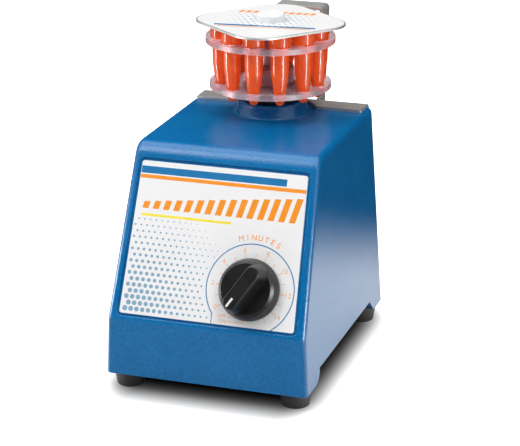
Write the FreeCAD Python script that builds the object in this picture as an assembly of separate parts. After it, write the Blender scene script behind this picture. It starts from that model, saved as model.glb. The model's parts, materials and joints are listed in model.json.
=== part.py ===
import FreeCAD, Part
import math
import os

# A vortex mixer with a wedge-shaped cast housing, a timer dial on its slanted front and an
# orbiting rack of microtubes under a square lid. Millimetres. While the pieces are made, X runs to
# the right, Y from the front skirt to the rear and Z up from the floor. At the end everything is
# moved along Y, so that the origin lies under the middle of the whole mixer.

# Housing
foot_height = 10.0
housing_width = 122.0
housing_top_width = 111.0
housing_depth = 165.5
housing_height = 129.2
skirt_height = 34.6
top_setback = 41.0
rear_lean_in = 11.5
wall = 3.0
edge_radius = 3.5
top_front_radius = 10.0

# Arches cut in the side skirts
arch_height = 8.0
arch_front = 19.0
arch_rear_inset = 20.5
arch_front_radius = 8.0
arch_rear_run = 9.0

# Collar round the head, with a stepped bore that seats the seal ring
collar_height = 8.4
collar_base_radius = 22.0
collar_top_radius = 20.4
collar_fillet = 2.4
collar_lip_radius = 1.8
collar_bore_radius = 14.5
seal_seat_radius = 16.2
seal_thickness = 4.4
seal_recess = 0.2
seal_hole_radius = 9.5

# Faceplate on the slanted front, measured up the slope from the break above the skirt
faceplate_low = 3.6
faceplate_high = 92.4
faceplate_low_width = 105.0
faceplate_high_width = 99.6
faceplate_radius = 1.5
faceplate_thickness = 1.0
pocket_margin = 1.8
pocket_depth = 1.2

# Timer and its knob
dial_x = 24.0
dial_up = 25.0
knob_radius = 17.8
knob_skirt_height = 8.4
knob_height = 18.0
knob_gap = 0.6
knob_rim_height = 2.2
knob_draft = 1.6
knob_wall = 2.6
grip_top_width = 7.6
grip_top_length = 27.6
grip_base_width = 13.0
grip_base_length = 33.0
grip_crown = 0.9
pointer_angle = 238.0
pointer_width = 1.3
pointer_length = 5.8
pointer_depth = 0.5
timer_side = 42.0
timer_depth = 34.0
timer_corner = 4.0
timer_shaft_radius = 3.0
timer_bushing_radius = 4.75
timer_bushing_length = 5.0
timer_nut_width = 14.0
timer_nut_height = 2.0
timer_plug_depth = 10.0

# Rubber feet and the bosses that they are screwed to
foot_side_inset = 10.5
foot_front = 13.0
foot_rear_inset = 13.0
foot_top_radius = 9.6
foot_bottom_radius = 8.0
foot_edge_radius = 0.9
foot_recess_radius = 4.6
foot_recess_depth = 4.0
foot_boss_radius = 9.0
foot_boss_height = 13.0

# Base plate
plate_recess = 1.5
plate_thickness = 1.5
plate_gap = 0.6
plate_post_radius = 5.0
plate_post_height = 14.0
plate_post_front = 55.0
plate_post_rear = 120.0
plate_post_inset = 9.0
vent_count = 7
vent_width = 3.0
vent_length = 34.0
vent_pitch = 7.0

# Cord gland in the rear wall
gland_x = -30.0
gland_up = 24.0
gland_bore_radius = 4.2
gland_thread_radius = 6.0
gland_flange_radius = 8.6
gland_flange_height = 7.0
gland_chamfer = 1.6
gland_nut_width = 17.0
gland_nut_height = 4.0

# Motor, hung from posts under the top of the housing
axis_rear_inset = 40.5
motor_post_spread = 21.5
motor_post_radius = 4.4
motor_post_length = 5.0
isolator_height = 4.0
motor_side = 52.0
motor_corner = 3.0
motor_plate_thickness = 4.0
winding_height = 9.0
winding_gap = 1.0
winding_inner_radius = 16.2
winding_outer_radius = 19.8
stack_height = 30.0
stator_bore_radius = 15.5
air_gap = 0.4
rotor_overhang = 1.0
bracket_hub_radius = 13.5
bracket_leg_width = 8.0
bracket_leg_inner = 20.6
tie_bolt_offset = 23.2
tie_bolt_radius = 1.5
tie_bolt_head_radius = 2.6
tie_bolt_head_height = 3.0
shaft_radius = 4.0
shaft_tail = 4.0
bearing_outer_radius = 11.0
bearing_width = 7.0
bearing_race = 2.2
fan_gap = 6.0
fan_height = 8.0
fan_hub_radius = 8.0
fan_radius = 23.0
fan_blade_count = 7
fan_blade_thickness = 1.6
fan_blade_pitch = 35.0
fan_blade_chord = 12.6

# Eccentric crank that carries the head
orbit_radius = 3.0
crank_gap = 1.0
crank_hub_radius = 9.0
crank_top_gap = 1.0
crank_wall = 4.0
crank_shoulder_radius = 5.5
crank_pin_radius = 4.0
counterweight_radius = 19.0
counterweight_thickness = 6.0
counterweight_lift = 0.6

# Mixing head and its bearing
head_gap = 0.6
head_radius = 17.0
head_height = 7.9
head_edge_radius = 1.6
head_bearing_lift = 0.5
head_bearing_radius = 8.0
head_bearing_width = 5.0
pin_end_gap = 0.2

# Tube rack
lower_disc_radius = 36.6
upper_disc_radius = 39.0
disc_thickness = 3.2
disc_spacing = 24.8
hub_radius = 14.0
hub_height = 10.2
hub_chamfer = 0.8
hub_post_radius = 7.5
stud_radius = 3.0
stud_into_head = 1.8
rack_nut_width = 10.0
rack_nut_height = 4.0
tube_count = 12
tube_circle_radius = 29.7
rack_turn = -1.5
tube_radius = 5.6
tube_waist_radius = 5.3
tube_wall = 0.9
tube_seat_radius = 3.65
tube_tip_radius = 2.7
tube_body = 16.2
tube_length = 35.9
tube_rim_radius = 6.6
tube_rim_height = 2.4
cap_radius = 6.7
cap_height = 5.1
cap_plug_depth = 3.0
cap_edge_radius = 0.9
lower_hole_radius = 4.3
lower_hole_chamfer = 0.6

# Lid and its thumb nut
lid_side = 75.0
lid_turn = 51.0
lid_corner_radius = 18.5
lid_thickness = 1.2
label_margin = 1.0
label_thickness = 0.15
lid_hole_radius = 3.6
lid_knob_radius = 8.5
lid_knob_height = 4.6
lid_knob_edge = 1.2
lid_knob_crown = 1.4

# Stainless bracket over the rear top edge, and its arm
sheet = 2.0
bracket_width = 105.4
bracket_run = 28.5
bracket_flange = 24.0
notch_front_width = 48.4
notch_rear_width = 32.0
notch_depth = 12.0
bracket_screw_x = 42.0
bracket_screw_drop = 14.0
arm_x = 17.8
arm_left = -13.0
arm_lid_gap = 0.7
arm_width = 14.5
arm_overhang = 21.5
arm_toe_overhang = 12.5
arm_bend_radius = 3.0
arm_foot_width = 18.0
arm_foot_low = 22.0
arm_foot_high = 4.0
arm_neck_drop = 1.0
arm_toe_drop = 15.0

# Screws and fits
screw_radius = 1.9
screw_head_radius = 3.6
screw_head_height = 2.2
screw_slot_length = 4.4
screw_slot_width = 0.9
screw_slot_depth = 1.1
screw_grip = 7.0
short_screw_grip = 4.0
thread_end = 1.0
fit_gap = 0.1
running_gap = 0.05

# Levels and slopes that follow from the sizes above
origin = FreeCAD.Vector(0, 0, 0)
along_x = FreeCAD.Vector(1, 0, 0)
along_y = FreeCAD.Vector(0, 1, 0)
along_z = FreeCAD.Vector(0, 0, 1)
reach = 2 * (housing_width + housing_depth + housing_height)
break_z = foot_height + skirt_height
top_z = foot_height + housing_height
inner_top_z = top_z - wall
front_lean = math.atan2(top_setback, housing_height - skirt_height)
rear_lean = math.atan2(rear_lean_in, housing_height)
side_draft = math.atan2((housing_width - housing_top_width) / 2, housing_height)
collar_top_z = top_z + collar_height
seal_top_z = collar_top_z - seal_recess
seal_low_z = seal_top_z - seal_thickness
plate_low_z = foot_height + arch_height + plate_recess
plate_top_z = plate_low_z + plate_thickness
motor_post_z = inner_top_z - motor_post_length
upper_bracket_top = motor_post_z - isolator_height
upper_bracket_low = upper_bracket_top - motor_plate_thickness
stack_top = upper_bracket_low - winding_height - winding_gap
stack_low = stack_top - stack_height
lower_bracket_top = stack_low - winding_height - winding_gap
lower_bracket_low = lower_bracket_top - motor_plate_thickness
fan_low = lower_bracket_low - fan_gap - fan_height
shaft_low = fan_low - shaft_tail
crank_low = upper_bracket_top + crank_gap
crank_top = seal_low_z - crank_top_gap
shaft_top = crank_top - crank_wall
axis_y = housing_depth - axis_rear_inset
head_y = axis_y - orbit_radius
head_low = collar_top_z + head_gap
head_top = head_low + head_height
head_bearing_low = head_low + head_bearing_lift
head_bearing_top = head_bearing_low + head_bearing_width
lower_disc_top = head_top + disc_thickness
upper_disc_low = lower_disc_top + disc_spacing
upper_disc_top = upper_disc_low + disc_thickness
cap_top = upper_disc_top + tube_rim_height + cap_height
lid_top = cap_top + lid_thickness
label_top = lid_top + label_thickness
lid_knob_top = label_top + lid_knob_height
stud_top = lid_knob_top - lid_knob_crown
arm_top = cap_top - arm_lid_gap
arm_rear = housing_depth + arm_overhang
arm_toe_rear = housing_depth + arm_toe_overhang
arm_front = arm_rear - arm_width
foot_x = housing_width / 2 - foot_side_inset
arch_rear = housing_depth - arch_rear_inset
bracket_front = housing_depth - bracket_run
notch_rear = bracket_front + notch_depth
foot_rear = housing_depth - foot_rear_inset
foot_spots = [(side * foot_x, y) for y in (foot_front, foot_rear) for side in (-1, 1)]
motor_spots = [(a * motor_post_spread, axis_y + b * motor_post_spread) for a in (-1, 1) for b in (-1, 1)]
tie_spots = [(tie_bolt_offset, 0), (-tie_bolt_offset, 0), (0, tie_bolt_offset), (0, -tie_bolt_offset)]
tube_angles = [rack_turn + 360.0 * i / tube_count for i in range(tube_count)]


# Distances of the housing's walls, moved in by an inset
def half_width(z, inset):
    return housing_width / 2 - (z - foot_height) * math.tan(side_draft) - inset / math.cos(side_draft)


def front_y(z, inset):
    slope_y = (z - break_z) * math.tan(front_lean) + inset / math.cos(front_lean)
    return max(inset, slope_y)


def rear_y(z, inset):
    return housing_depth - (z - foot_height) * math.tan(rear_lean) - inset / math.cos(rear_lean)


# Places on the slanted front and on the rear wall, with local Z pointing out of the wall
def panel_place(x, up, out):
    turn = FreeCAD.Rotation(along_x, 90 - math.degrees(front_lean))
    base = FreeCAD.Vector(0, 0, break_z)
    return FreeCAD.Placement(base + turn.multVec(FreeCAD.Vector(x, up, out)), turn)


def rear_place(x, up, out):
    turn = FreeCAD.Rotation(along_x, math.degrees(rear_lean) - 90)
    turn = turn.multiply(FreeCAD.Rotation(along_z, 180))
    base = FreeCAD.Vector(0, housing_depth, foot_height)
    return FreeCAD.Placement(base + turn.multVec(FreeCAD.Vector(-x, up, out)), turn)


# Small builders
def placed(shape, place):
    moved = shape.copy()
    moved.Placement = place.multiply(moved.Placement)
    return moved


def rod(radius, low, high, x=0.0, y=0.0):
    return Part.makeCylinder(radius, high - low, FreeCAD.Vector(x, y, low))


def ring(outer, inner, low, high, x=0.0, y=0.0):
    return rod(outer, low, high, x, y).cut(rod(inner, low, high, x, y))


def block(low, high):
    size = [high[i] - low[i] for i in range(3)]
    return Part.makeBox(size[0], size[1], size[2], FreeCAD.Vector(low[0], low[1], low[2]))


def prism(points, run):
    corners = [FreeCAD.Vector(p[0], p[1], p[2]) for p in points]
    return Part.Face(Part.makePolygon(corners + corners[:1])).extrude(run)


def hexagon(width, low, high):
    radius = width / math.sqrt(3)
    turns = [math.radians(60 * i) for i in range(6)]
    return prism([(radius * math.cos(a), radius * math.sin(a), low) for a in turns], along_z * (high - low))


# Turned shape: each step of the outline is a (radius, z) point, or a pair of them for an arc
def turned(outline):
    edges = []
    last = FreeCAD.Vector(outline[0][0], 0, outline[0][1])
    start = last
    for step in outline[1:]:
        if isinstance(step[0], tuple):
            middle = FreeCAD.Vector(step[0][0], 0, step[0][1])
            end = FreeCAD.Vector(step[1][0], 0, step[1][1])
            edges.append(Part.Arc(last, middle, end).toShape())
        else:
            end = FreeCAD.Vector(step[0], 0, step[1])
            edges.append(Part.LineSegment(last, end).toShape())
        last = end
    edges.append(Part.LineSegment(last, start).toShape())
    return Part.Face(Part.Wire(edges)).revolve(origin, along_z, 360)


# Middle point of a quarter round between two points of an outline
def round_middle(centre, radius, degrees):
    angle = math.radians(degrees)
    return (centre[0] + radius * math.cos(angle), centre[1] + radius * math.sin(angle))


def rounded_plate(low_width, high_width, low, high, radius, thickness):
    corners = [(-low_width / 2, low), (low_width / 2, low), (high_width / 2, high), (-high_width / 2, high)]
    plate = prism([(x, y, 0) for x, y in corners], along_z * thickness)
    upright = [edge for edge in plate.Edges if edge.BoundBox.ZLength > thickness / 2]
    return plate.makeFillet(radius, upright)


def slot_wire(length, width, z):
    radius = width / 2
    run = length / 2 - radius
    right = FreeCAD.Vector(run, 0, z)
    left = FreeCAD.Vector(-run, 0, z)
    side = along_y * radius
    edges = [
        Part.LineSegment(left - side, right - side).toShape(),
        Part.Arc(right - side, right + along_x * radius, right + side).toShape(),
        Part.LineSegment(right + side, left + side).toShape(),
        Part.Arc(left + side, left - along_x * radius, left - side).toShape(),
    ]
    return Part.Wire(edges)


# Pan-head screw with a crossed slot, its head above local zero and its shank below
def screw(grip):
    edge = screw_head_height / 2
    middle = round_middle((screw_head_radius - edge, screw_head_height - edge), edge, 45)
    head = turned([
        (0, 0),
        (screw_head_radius, 0),
        (screw_head_radius, screw_head_height - edge),
        (middle, (screw_head_radius - edge, screw_head_height)),
        (0, screw_head_height),
    ])
    half = screw_slot_length / 2
    low = screw_head_height - screw_slot_depth
    slot = block((-half, -screw_slot_width / 2, low), (half, screw_slot_width / 2, screw_head_height))
    head = head.cut(slot).cut(slot.rotated(origin, along_z, 90))
    return head.fuse(rod(screw_radius, -grip, 0)).removeSplitter()


def upright_at(x, y, z):
    return FreeCAD.Placement(FreeCAD.Vector(x, y, z), FreeCAD.Rotation())


def upturned_at(x, y, z):
    return FreeCAD.Placement(FreeCAD.Vector(x, y, z), FreeCAD.Rotation(along_x, 180))


def ring_of(shape, centre_y):
    centre = FreeCAD.Vector(0, centre_y, 0)
    return Part.makeCompound([shape.rotated(centre, along_z, angle) for angle in tube_angles])


# Wedge of the housing, moved in by an inset (out where it is negative), sharp-edged
def wedge(inset, low_z):
    high_z = top_z - inset
    turn_z = break_z - inset * math.tan(front_lean / 2)
    side = [
        (inset, low_z),
        (inset, turn_z),
        (front_y(high_z, inset), high_z),
        (rear_y(high_z, inset), high_z),
        (rear_y(low_z, inset), low_z),
    ]
    front = [
        (-half_width(low_z, inset), low_z),
        (half_width(low_z, inset), low_z),
        (half_width(high_z, inset), high_z),
        (-half_width(high_z, inset), high_z),
    ]
    sideways = prism([(-reach, y, z) for y, z in side], along_x * (2 * reach))
    lengthways = prism([(x, -reach, z) for x, z in front], along_y * (2 * reach))
    return sideways.common(lengthways)


# A wedge's top edge at the front or the rear
def top_edge(solid, level, y):
    return [
        edge for edge in solid.Edges
        if abs(edge.CenterOfMass.z - level) < fit_gap and abs(edge.CenterOfMass.y - y) < fit_gap
    ]


# The same wedge with its front top edge rounded, for the housing's outside and inside
def front_wedge(inset, low_z):
    solid = wedge(inset, low_z)
    level = top_z - inset
    return solid.makeFillet(top_front_radius - inset, top_edge(solid, level, front_y(level, inset)))


# The same wedge with only its rear top edge rounded, for sheet that is bent over that edge
def rear_wedge(inset):
    solid = wedge(inset, foot_height)
    level = top_z - inset
    return solid.makeFillet(edge_radius - inset, top_edge(solid, level, rear_y(level, inset)))


def arch():
    level = foot_height + arch_height
    below = foot_height - wall
    curve_start = FreeCAD.Vector(-reach, arch_front, foot_height)
    centre = FreeCAD.Vector(-reach, arch_front, foot_height + arch_front_radius)
    angle = math.acos(1 - arch_height / arch_front_radius)
    bend = [
        centre + FreeCAD.Vector(0, math.sin(a), -math.cos(a)) * arch_front_radius
        for a in (angle / 2, angle)
    ]
    points = [
        bend[1],
        FreeCAD.Vector(-reach, arch_rear - arch_rear_run, level),
        FreeCAD.Vector(-reach, arch_rear, foot_height),
        FreeCAD.Vector(-reach, arch_rear, below),
        FreeCAD.Vector(-reach, arch_front, below),
        curve_start,
    ]
    edges = [Part.LineSegment(points[i], points[i + 1]).toShape() for i in range(len(points) - 1)]
    edges.append(Part.Arc(curve_start, bend[0], bend[1]).toShape())
    return Part.Face(Part.Wire(edges)).extrude(along_x * (2 * reach))


def collar():
    foot = collar_base_radius + collar_fillet
    centre = (foot, top_z + collar_fillet)
    lip = collar_lip_radius
    lip_centre = (collar_top_radius - lip, collar_top_z - lip)
    body = turned([
        (0, inner_top_z),
        (foot, inner_top_z),
        (foot, top_z),
        (round_middle(centre, collar_fillet, 225), (collar_base_radius, top_z + collar_fillet)),
        (collar_top_radius, collar_top_z - lip),
        (round_middle(lip_centre, lip, 45), (collar_top_radius - lip, collar_top_z)),
        (0, collar_top_z),
    ])
    return body.translated(FreeCAD.Vector(0, axis_y, 0))


def plate_post_spots():
    side = half_width(plate_top_z, 0) - plate_post_inset
    return [(a * side, y) for y in (plate_post_front, plate_post_rear) for a in (-1, 1)]


def housing_shell():
    outside = front_wedge(0, foot_height)
    middle_z = (break_z + top_z) / 2
    round_edges = []
    for edge in outside.Edges:
        spot = edge.CenterOfMass
        smooth = abs(spot.x) < fit_gap and spot.y < axis_y and spot.z > middle_z
        if edge.BoundBox.ZMax > foot_height + fit_gap and not smooth:
            round_edges.append(edge)
    outside = outside.makeFillet(edge_radius, round_edges)
    shell = outside.cut(front_wedge(wall, foot_height - wall))
    bosses = [rod(foot_boss_radius, foot_height, foot_height + foot_boss_height, x, y) for x, y in foot_spots]
    for x, y in plate_post_spots():
        post = rod(plate_post_radius, plate_top_z, plate_top_z + plate_post_height, x, y)
        rib_x = math.copysign(half_width(plate_top_z, 0), x)
        low = (min(x, rib_x), y - plate_post_radius, plate_top_z)
        high = (max(x, rib_x), y + plate_post_radius, plate_top_z + plate_post_height)
        bosses += [post, block(low, high)]
    for x, y in foot_spots:
        rib_x = math.copysign(half_width(foot_height, 0), x)
        low = (min(x, rib_x), y - foot_boss_radius, foot_height)
        high = (max(x, rib_x), y + foot_boss_radius, foot_height + foot_boss_height)
        bosses.append(block(low, high))
    bosses = [boss.common(outside) for boss in bosses]
    posts = [rod(motor_post_radius, motor_post_z, top_z - wall / 2, x, y) for x, y in motor_spots]
    shell = shell.fuse(bosses + posts + [collar()])
    hole = screw_radius + fit_gap
    cuts = [arch(), faceplate_pocket()]
    cuts.append(rod(collar_bore_radius, inner_top_z - fit_gap, seal_low_z, 0, axis_y))
    cuts.append(rod(seal_seat_radius, seal_low_z, collar_top_z + fit_gap, 0, axis_y))
    cuts.append(placed(rod(timer_bushing_radius + fit_gap, -2 * wall, wall), panel_place(dial_x, dial_up, 0)))
    cuts.append(placed(rod(gland_thread_radius + fit_gap, -2 * wall, wall), rear_place(gland_x, gland_up, 0)))
    cuts += [rod(hole, foot_height - fit_gap, foot_height + screw_grip + thread_end, x, y) for x, y in foot_spots]
    cuts += [rod(hole, plate_top_z - fit_gap, plate_top_z + screw_grip, x, y) for x, y in plate_post_spots()]
    cuts += [rod(hole, motor_post_z - fit_gap, motor_post_z + screw_grip, x, y) for x, y in motor_spots]
    cuts += [placed(rod(hole, -2 * wall, wall), place) for place in bracket_screw_places(0) + arm_screw_places(0)]
    return shell.cut(cuts).removeSplitter()


def faceplate_pocket():
    pocket = rounded_plate(
        faceplate_low_width + 2 * pocket_margin,
        faceplate_high_width + 2 * pocket_margin,
        faceplate_low - pocket_margin,
        faceplate_high + pocket_margin,
        faceplate_radius + pocket_margin,
        pocket_depth + wall,
    )
    return placed(pocket, panel_place(0, 0, -pocket_depth))


def front_faceplate():
    plate = rounded_plate(
        faceplate_low_width,
        faceplate_high_width,
        faceplate_low,
        faceplate_high,
        faceplate_radius,
        faceplate_thickness,
    )
    plate = plate.cut(rod(timer_bushing_radius + fit_gap, -wall, wall, dial_x, dial_up))
    return placed(plate, panel_place(0, 0, -pocket_depth))


def timer_case():
    half = timer_side / 2
    case = block((-half, -half, -wall - timer_depth), (half, half, -wall))
    upright = [edge for edge in case.Edges if edge.BoundBox.ZLength > timer_depth / 2]
    case = case.makeFillet(timer_corner, upright)
    bushing_top = faceplate_thickness - pocket_depth + timer_bushing_length
    bushing = rod(timer_bushing_radius, -wall - fit_gap, bushing_top)
    bore = rod(timer_shaft_radius + running_gap, -wall - timer_plug_depth, bushing_top)
    return placed(case.fuse(bushing).cut(bore).removeSplitter(), panel_place(dial_x, dial_up, 0))


def timer_nut():
    low = faceplate_thickness - pocket_depth
    nut = hexagon(timer_nut_width, low, low + timer_nut_height)
    nut = nut.cut(rod(timer_bushing_radius + fit_gap, low, low + timer_nut_height))
    return placed(nut, panel_place(dial_x, dial_up, 0))


def knob_place():
    out = faceplate_thickness - pocket_depth + knob_gap
    return panel_place(dial_x, dial_up, out)


def timer_shaft():
    out = pocket_depth - faceplate_thickness - knob_gap
    low = out - wall - timer_plug_depth + thread_end
    shaft = rod(timer_shaft_radius, low, knob_skirt_height + knob_wall)
    return placed(shaft, knob_place())


def pointer_slot(top):
    end = (grip_top_length - pointer_width) / 2
    low = (end - pointer_length, -pointer_width / 2, knob_height - pointer_depth)
    high = (end, pointer_width / 2, top)
    return block(low, high).rotated(origin, along_z, pointer_angle)


def timer_knob():
    shoulder = knob_radius - knob_draft
    skirt = turned([
        (0, 0),
        (knob_radius, 0),
        (knob_radius, knob_rim_height),
        (shoulder, knob_skirt_height - knob_draft),
        (shoulder - knob_draft, knob_skirt_height),
        (0, knob_skirt_height),
    ])
    grip = Part.makeLoft([
        slot_wire(grip_base_length, grip_base_width, knob_skirt_height - knob_draft),
        slot_wire(grip_top_length + grip_crown, grip_top_width + grip_crown, knob_height - grip_crown),
        slot_wire(grip_top_length, grip_top_width, knob_height),
    ], True, True)
    grip = grip.rotated(origin, along_z, pointer_angle)
    hollow = ring(
        knob_radius - knob_draft - knob_wall,
        timer_bushing_radius + fit_gap + knob_wall,
        0,
        knob_skirt_height - knob_wall,
    )
    nut_room = rod(timer_nut_width / math.sqrt(3) + knob_gap, 0, timer_nut_height + knob_gap)
    bushing_room = rod(timer_bushing_radius + knob_gap, 0, timer_bushing_length)
    shaft_room = rod(timer_shaft_radius, 0, knob_skirt_height + knob_wall)
    knob = skirt.fuse(grip).cut([hollow, nut_room, bushing_room, shaft_room, pointer_slot(knob_height + wall)])
    return placed(knob.removeSplitter(), knob_place())


def knob_pointer():
    return placed(pointer_slot(knob_height), knob_place())


def rubber_foot(x, y):
    foot = Part.makeCone(foot_bottom_radius, foot_top_radius, foot_height)
    rim = [edge for edge in foot.Edges if edge.BoundBox.ZMax < fit_gap]
    foot = foot.makeFillet(foot_edge_radius, rim)
    recess = rod(foot_recess_radius, 0, foot_recess_depth)
    hole = rod(screw_radius + fit_gap, 0, foot_height)
    return foot.cut([recess, hole]).translated(FreeCAD.Vector(x, y, 0))


def foot_screws():
    one = screw(foot_height - foot_recess_depth + screw_grip)
    return Part.makeCompound([placed(one, upturned_at(x, y, foot_recess_depth)) for x, y in foot_spots])


def base_plate():
    slab = wedge(wall + plate_gap, plate_low_z).common(
        block((-reach, -reach, plate_low_z), (reach, reach, plate_top_z)))
    cuts = []
    for x, y in foot_spots:
        cuts.append(rod(foot_boss_radius + plate_gap, foot_height, top_z, x, y))
        wide = math.copysign(reach, x)
        low = (min(x, wide), y - foot_boss_radius - plate_gap, foot_height)
        high = (max(x, wide), y + foot_boss_radius + plate_gap, top_z)
        cuts.append(block(low, high))
    cuts += [rod(screw_radius + fit_gap, foot_height, top_z, x, y) for x, y in plate_post_spots()]
    for i in range(vent_count):
        x = (i - (vent_count - 1) / 2) * vent_pitch
        wire = slot_wire(vent_length, vent_width, plate_low_z - fit_gap)
        slot = Part.Face(wire).extrude(along_z * (plate_thickness + 2 * fit_gap))
        cuts.append(slot.rotated(origin, along_z, 90).translated(FreeCAD.Vector(x, axis_y, 0)))
    return slab.cut(cuts)


def base_plate_screws():
    one = screw(plate_thickness + screw_grip - fit_gap)
    return Part.makeCompound([placed(one, upturned_at(x, y, plate_low_z)) for x, y in plate_post_spots()])


def cord_gland():
    flange = turned([
        (gland_bore_radius, -wall - gland_nut_height - thread_end),
        (gland_thread_radius, -wall - gland_nut_height - thread_end),
        (gland_thread_radius, 0),
        (gland_flange_radius, 0),
        (gland_flange_radius, gland_flange_height - 2 * gland_chamfer),
        (gland_flange_radius - gland_chamfer, gland_flange_height),
        (gland_bore_radius, gland_flange_height),
    ])
    return placed(flange, rear_place(gland_x, gland_up, 0))


def gland_nut():
    nut = hexagon(gland_nut_width, -wall - gland_nut_height, -wall)
    nut = nut.cut(rod(gland_thread_radius + fit_gap, -wall - gland_nut_height, -wall))
    return placed(nut, rear_place(gland_x, gland_up, 0))


def collar_seal():
    return ring(seal_seat_radius - fit_gap, seal_hole_radius, seal_low_z, seal_top_z, 0, axis_y)


def at_axis(shape):
    return shape.translated(FreeCAD.Vector(0, axis_y, 0))


def square_plate(low, high):
    half = motor_side / 2
    plate = block((-half, -half, low), (half, half, high))
    upright = [edge for edge in plate.Edges if edge.BoundBox.ZLength > (high - low) / 2]
    return plate.makeFillet(motor_corner, upright)


def tie_holes(low, high):
    return [rod(tie_bolt_radius + fit_gap, low, high, x, y) for x, y in tie_spots]


def motor_stator():
    stack = square_plate(stack_low, stack_top).cut(rod(stator_bore_radius, stack_low, stack_top))
    return at_axis(stack.cut(tie_holes(stack_low, stack_top)))


def motor_windings():
    upper = ring(winding_outer_radius, winding_inner_radius, stack_top, stack_top + winding_height)
    lower = ring(winding_outer_radius, winding_inner_radius, stack_low - winding_height, stack_low)
    return at_axis(Part.makeCompound([upper, lower]))


# Motor bracket: a plate with legs that stand on the stack and a hub that holds the bearing
def motor_bracket(plate_low, leg_low, leg_high, hub_low, seat_low, hole_radius):
    plate_high = plate_low + motor_plate_thickness
    body = square_plate(plate_low, plate_high)
    half = bracket_leg_width / 2
    leg = block((bracket_leg_inner, -half, leg_low), (motor_side / 2, half, leg_high))
    legs = [leg.rotated(origin, along_z, 90 * i) for i in range(4)]
    hub = rod(bracket_hub_radius, hub_low, hub_low + bearing_width + bearing_race / 2)
    cuts = [rod(bearing_outer_radius + running_gap, seat_low, seat_low + bearing_width)]
    cuts.append(rod(bearing_outer_radius - bearing_race, hub_low - wall, plate_high + bearing_width))
    cuts += tie_holes(min(leg_low, plate_low), max(leg_high, plate_high))
    cuts += [rod(hole_radius, plate_low, plate_high, x, y - axis_y) for x, y in motor_spots]
    return at_axis(body.fuse(legs + [hub]).cut(cuts).removeSplitter())


def motor_upper_bracket():
    hub_low = upper_bracket_top - bearing_width - bearing_race / 2
    seat_low = upper_bracket_top - bearing_width
    hole = screw_radius + fit_gap
    return motor_bracket(upper_bracket_low, stack_top, upper_bracket_low, hub_low, seat_low, hole)


def motor_lower_bracket():
    hole = screw_head_radius + fit_gap
    return motor_bracket(
        lower_bracket_low, lower_bracket_top, stack_low, lower_bracket_low, lower_bracket_low, hole)


def motor_bearing(low):
    bore = shaft_radius + running_gap
    body = ring(bearing_outer_radius, bore, low, low + bearing_width)
    groove_out = bearing_outer_radius - bearing_race
    groove_in = bore + bearing_race
    dish = ring(groove_out, groove_in, 0, bearing_race / 4)
    lower = dish.translated(FreeCAD.Vector(0, 0, low))
    upper = dish.translated(FreeCAD.Vector(0, 0, low + bearing_width - bearing_race / 4))
    return at_axis(body.cut([lower, upper]))


def motor_tie_bolts():
    grip = upper_bracket_low - lower_bracket_low
    one = rod(tie_bolt_radius, 0, grip + motor_plate_thickness / 2)
    one = one.fuse(rod(tie_bolt_head_radius, -tie_bolt_head_height, 0)).removeSplitter()
    spots = [FreeCAD.Vector(x, y + axis_y, lower_bracket_low) for x, y in tie_spots]
    return Part.makeCompound([one.translated(spot) for spot in spots])


def motor_isolators():
    hole = screw_radius + fit_gap
    return Part.makeCompound([
        ring(motor_post_radius, hole, upper_bracket_top, motor_post_z, x, y) for x, y in motor_spots])


def motor_mount_screws():
    one = screw(motor_plate_thickness + isolator_height + screw_grip - fit_gap)
    return Part.makeCompound([placed(one, upturned_at(x, y, upper_bracket_low)) for x, y in motor_spots])


def motor_shaft():
    return at_axis(rod(shaft_radius, shaft_low, shaft_top))


def motor_rotor():
    rotor = ring(
        stator_bore_radius - air_gap, shaft_radius, stack_low - rotor_overhang, stack_top + rotor_overhang)
    return at_axis(rotor)


def cooling_fan():
    hub = rod(fan_hub_radius, fan_low, fan_low + fan_height)
    half = fan_blade_chord / 2
    blades = []
    for i in range(fan_blade_count):
        blade = block((fan_hub_radius / 2, -half, -fan_blade_thickness / 2),
                      (fan_radius, half, fan_blade_thickness / 2))
        blade = blade.rotated(origin, along_x, fan_blade_pitch)
        blade = blade.rotated(origin, along_z, 360.0 * i / fan_blade_count)
        blades.append(blade.translated(FreeCAD.Vector(0, 0, fan_low + fan_height / 2)))
    envelope = rod(fan_radius, fan_low, fan_low + fan_height)
    blades = [blade.common(envelope) for blade in blades]
    bore = rod(shaft_radius, fan_low, fan_low + fan_height)
    return at_axis(hub.fuse(blades).cut(bore).removeSplitter())


def set_screw_z():
    return counterweight_low() + counterweight_thickness + screw_radius + thread_end


def counterweight_low():
    return crank_low + counterweight_lift


def eccentric_crank():
    hub = rod(crank_hub_radius, crank_low, crank_top)
    shoulder = rod(crank_shoulder_radius, crank_top - fit_gap, head_bearing_low, 0, -orbit_radius)
    pin = rod(crank_pin_radius, head_bearing_low - fit_gap, head_bearing_top - pin_end_gap, 0, -orbit_radius)
    bore = rod(shaft_radius, crank_low, shaft_top)
    body = hub.fuse([shoulder, pin]).cut(bore)
    thread = Part.makeCylinder(
        screw_radius, crank_hub_radius, FreeCAD.Vector(0, 0, set_screw_z()), FreeCAD.Vector(0, 1, 0))
    return at_axis(body.cut(thread).removeSplitter())


def crank_set_screw():
    length = crank_hub_radius - shaft_radius
    start = FreeCAD.Vector(0, shaft_radius + fit_gap, set_screw_z())
    body = Part.makeCylinder(screw_radius - running_gap, length - fit_gap, start, along_y)
    socket_at = FreeCAD.Vector(0, shaft_radius + length / 2, set_screw_z())
    socket = Part.makeCylinder(screw_radius / 2, length, socket_at, along_y)
    return at_axis(body.cut(socket))


def counterweight():
    low = counterweight_low()
    high = low + counterweight_thickness
    body = ring(counterweight_radius, crank_hub_radius, low, high)
    rear_half = block((-reach, crank_shoulder_radius, low), (reach, reach, high))
    return at_axis(body.common(rear_half))


def head_bearing():
    bore = crank_pin_radius + running_gap
    return ring(head_bearing_radius, bore, head_bearing_low, head_bearing_top, 0, head_y)


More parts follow.
